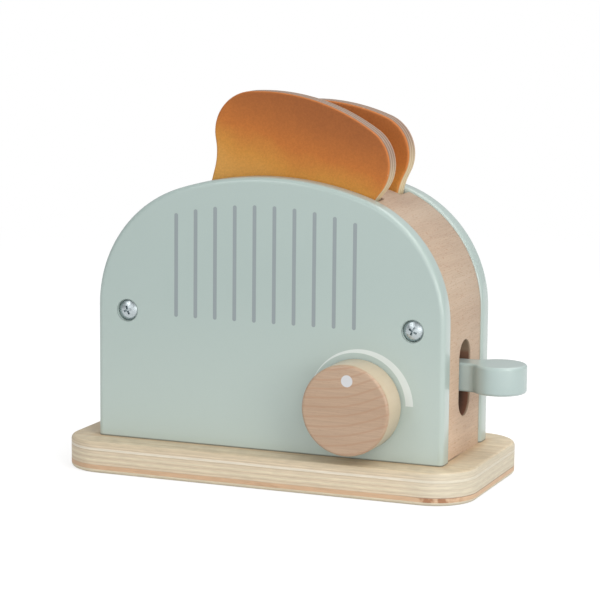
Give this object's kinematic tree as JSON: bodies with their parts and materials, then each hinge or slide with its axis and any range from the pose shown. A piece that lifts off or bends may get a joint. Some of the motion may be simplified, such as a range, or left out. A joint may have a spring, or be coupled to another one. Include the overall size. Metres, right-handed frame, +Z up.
{
  "type": "toy toaster",
  "caption": "Wooden toy toaster with arched mint panels, a side lever that lifts two wooden slices of toast out of their slots, and a turning front knob.",
  "frame": {"origin": "middle of the underside of the base board", "axes": "+X towards the lever, +Y towards the rear panel, +Z up"},
  "size_m": [0.2137, 0.0982, 0.1791],
  "materials": {
    "mint_lacquer": "satin mint lacquer on wood",
    "beech": "sanded beech, clear matt oil",
    "knob_beech": "turned beech, clear matt oil",
    "dowel_beech": "fluted beech dowel, unfinished",
    "base_ply": "birch plywood, clear matt lacquer",
    "shelf_ply": "thin birch plywood, sanded",
    "toast_ply": "plywood stained toast brown, satin",
    "screw_steel": "zinc plated",
    "pin_steel": "ground steel rod"
  },
  "bodies": {
    "housing": {"base_board": "base_ply", "base_screws": "screw_steel", "rest_block": "beech", "left_block": "beech", "right_block": "beech", "centre_divider": "beech", "divider_dowels": "dowel_beech", "guide_pins": "pin_steel", "front_panel": "mint_lacquer", "rear_panel": "mint_lacquer", "panel_dowels": "dowel_beech", "front_panel_screws": "screw_steel", "rear_panel_screws": "screw_steel", "pivot_pin": "pin_steel"},
    "lever": {"lever": "mint_lacquer"},
    "lift": {"lift_shelf": "shelf_ply", "lift_post": "beech", "shelf_screws": "screw_steel"},
    "knob": {"knob": "knob_beech", "knob_spindle": "dowel_beech", "knob_washer": "screw_steel", "knob_screw": "screw_steel"},
    "front_slice": {"toast_front": "toast_ply"},
    "rear_slice": {"toast_rear": "toast_ply"}
  },
  "joints": [
    {"name": "lever_swing", "type": "hinge", "parent": "housing", "child": "lever", "pos_m": [0.062, 0, 0.0513], "axis": [0, 1, 0], "range_deg": [0, 20]},
    {"name": "lift_slide", "type": "slide", "parent": "housing", "child": "lift", "axis": [0, 0, 1], "range_m": [0, 0.0197]},
    {"name": "knob_spin", "type": "hinge", "parent": "housing", "child": "knob", "pos_m": [0.0448, -0.0334, 0.04035], "axis": [0, 1, 0], "continuous": true},
    {"name": "front_slice_out", "type": "slide", "parent": "lift", "child": "front_slice", "axis": [0, 0, 1], "range_m": [0, 0.075]},
    {"name": "rear_slice_out", "type": "slide", "parent": "lift", "child": "rear_slice", "axis": [0, 0, 1], "range_m": [0, 0.075]}
  ],
  "couplings": [
    {"joint": "lift_slide", "follows": "lever_swing", "m_per_rad": 0.0562}
  ]
}
